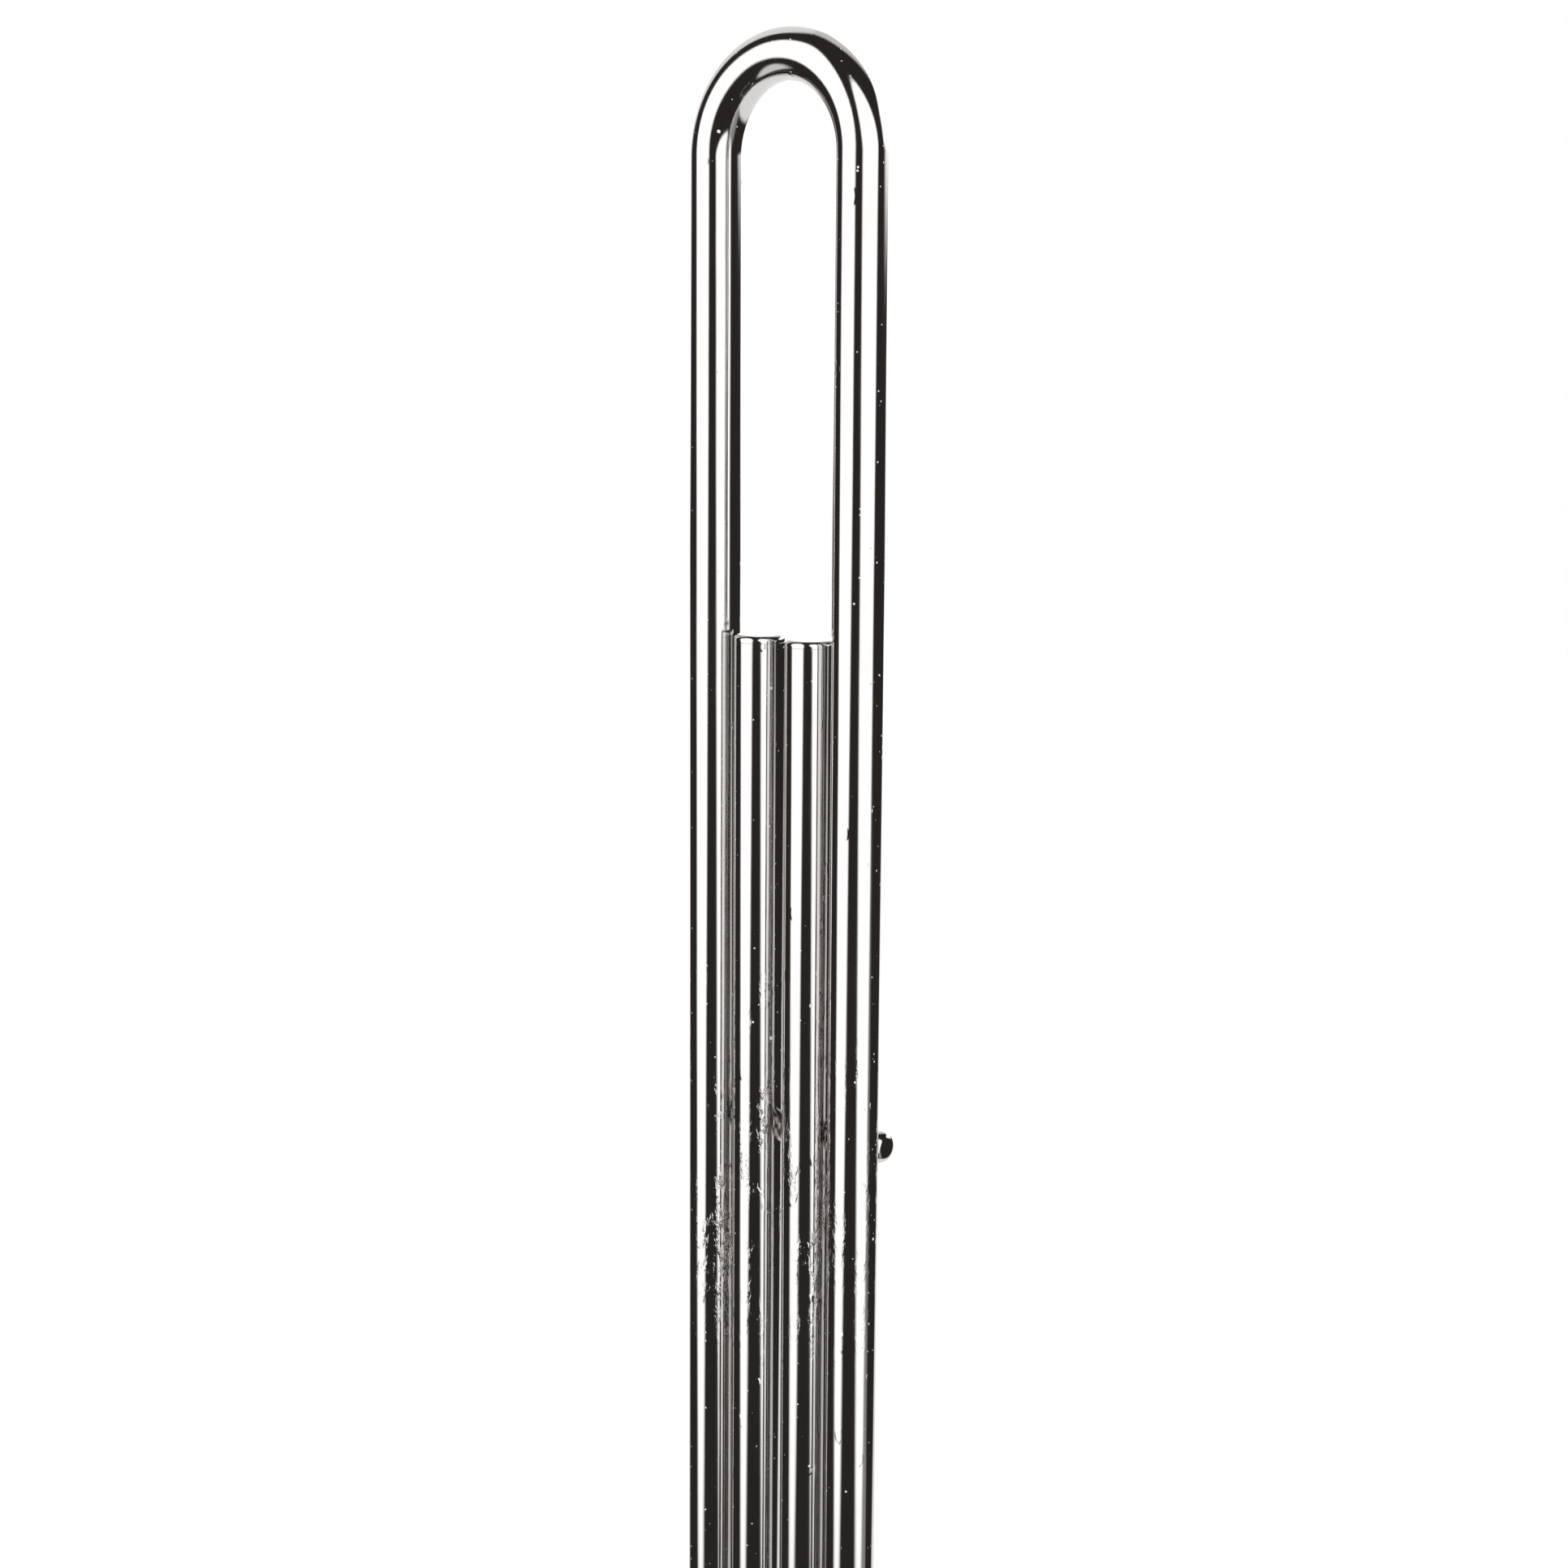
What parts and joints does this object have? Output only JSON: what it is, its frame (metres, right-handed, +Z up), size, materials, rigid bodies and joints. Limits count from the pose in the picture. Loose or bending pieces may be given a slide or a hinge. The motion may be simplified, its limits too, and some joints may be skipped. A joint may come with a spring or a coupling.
{
  "type": "umbrella stand",
  "caption": "Tall umbrella stand: a narrow inverted U of bright tube with shorter tubes between its legs, a side hoop, a round heavy base and a lift-out drip tray.",
  "frame": {"origin": "middle of the round base at floor level", "axes": "+Z up along the tubes, +Y towards the back where the tubes stand, +X to the right across the row of tubes"},
  "size_m": [0.28, 0.28, 0.9199],
  "materials": {
    "chrome": "polished chrome plate on steel, finely scratched",
    "plain_steel": "zinc-plated machine steel",
    "black_iron": "black satin enamel on cast iron",
    "foot_rubber": "matt moulded rubber",
    "tray_steel": "spun stainless steel",
    "mat_rubber": "matt ribbed rubber"
  },
  "bodies": {
    "stand": {"loop_tube": "chrome", "inner_tube_left": "chrome", "inner_tube_right": "chrome", "inner_cap_left": "chrome", "inner_cap_right": "chrome", "cross_bar": "chrome", "front_clamp": "chrome", "rear_clamp": "chrome", "clamp_washers": "chrome", "clamp_screws": "chrome", "holder_hoop": "chrome", "tube_plugs": "plain_steel", "backing_plate": "plain_steel", "column_washers": "plain_steel", "column_bolts": "plain_steel", "column_collar": "chrome", "collar_screws": "chrome", "base_plate": "black_iron", "foot_pads": "foot_rubber", "foot_washers": "plain_steel", "foot_screws": "plain_steel"},
    "tray": {"drip_tray": "tray_steel", "tray_mat": "mat_rubber"}
  },
  "joints": [
    {"name": "tray_lift", "type": "slide", "parent": "stand", "child": "tray", "axis": [0, 0, 1], "range_m": [0, 0.12]}
  ]
}
